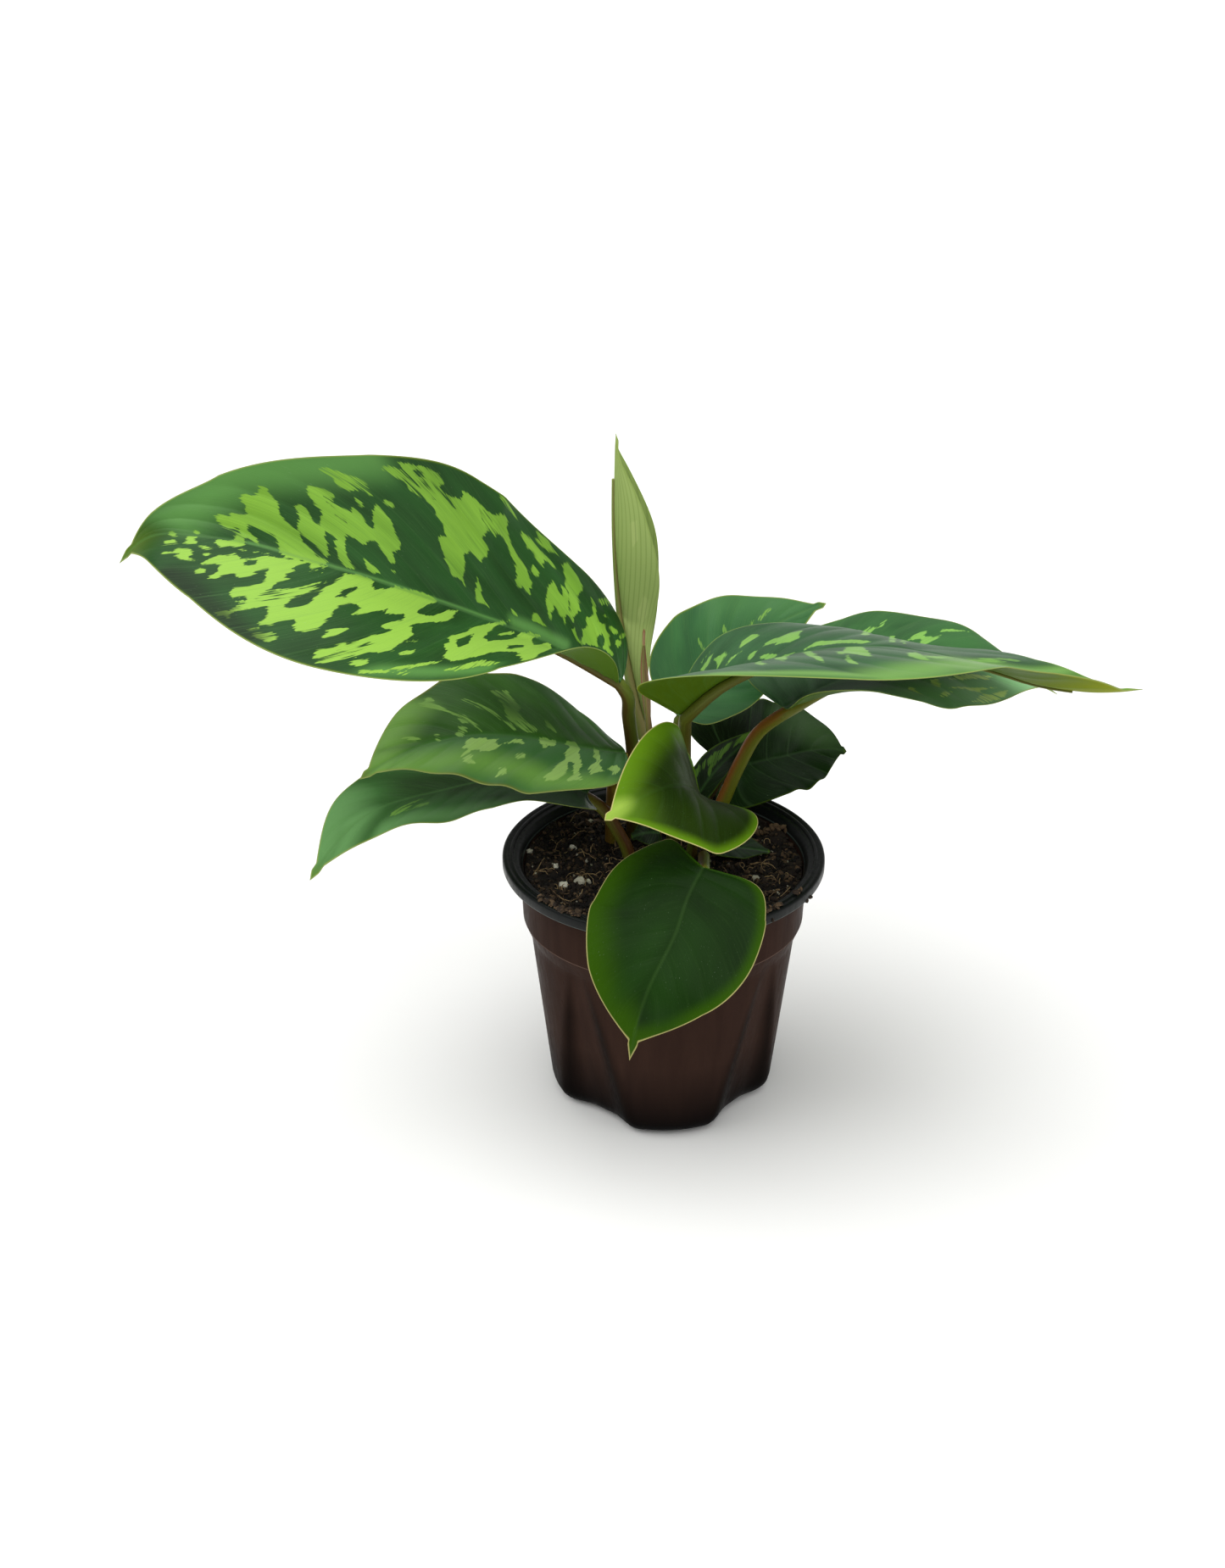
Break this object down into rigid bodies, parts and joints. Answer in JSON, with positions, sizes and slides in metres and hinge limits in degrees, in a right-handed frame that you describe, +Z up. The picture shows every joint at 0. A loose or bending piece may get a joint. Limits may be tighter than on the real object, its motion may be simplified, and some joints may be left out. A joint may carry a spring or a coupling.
{
  "type": "potted homalomena",
  "caption": "Young foliage plant with pointed, camouflage-marked leaves on upright stalks, rooted in potting mix in a small fluted plastic grower's pot.",
  "frame": {"origin": "centre of the pot's flat underside, on the surface that it stands on", "axes": "+Z up, +X to the right as seen from the front, along the plant's widest spread, and the front faces -Y"},
  "size_m": [0.3363, 0.1727, 0.2345],
  "materials": {
    "pot_plastic": "thin moulded polypropylene, brown-black, satin",
    "potting_mix": "damp dark peat and bark crumbs with white perlite",
    "leaf": "living leaf, dark green with lime camouflage patches, soft waxy gloss",
    "young_leaf": "unopened pale sage-green leaf, fine slanting veins, matt",
    "leaf_sheath": "thin drying leaf sheath, pinkish brown"
  },
  "bodies": {
    "root": {"pot": "pot_plastic", "soil": "potting_mix", "leaf_left_large": "leaf", "leaf_right_front": "leaf", "leaf_right_back": "leaf", "leaf_right_dark": "leaf", "leaf_right_folded": "leaf", "leaf_back_right": "leaf", "leaf_left_middle": "leaf", "leaf_left_low": "leaf", "leaf_front_upper": "leaf", "leaf_front_lower": "leaf", "leaf_soil_right": "leaf", "leaf_soil_left": "leaf", "leaf_spear": "young_leaf", "leaf_sheath": "leaf_sheath"}
  },
  "joints": []
}
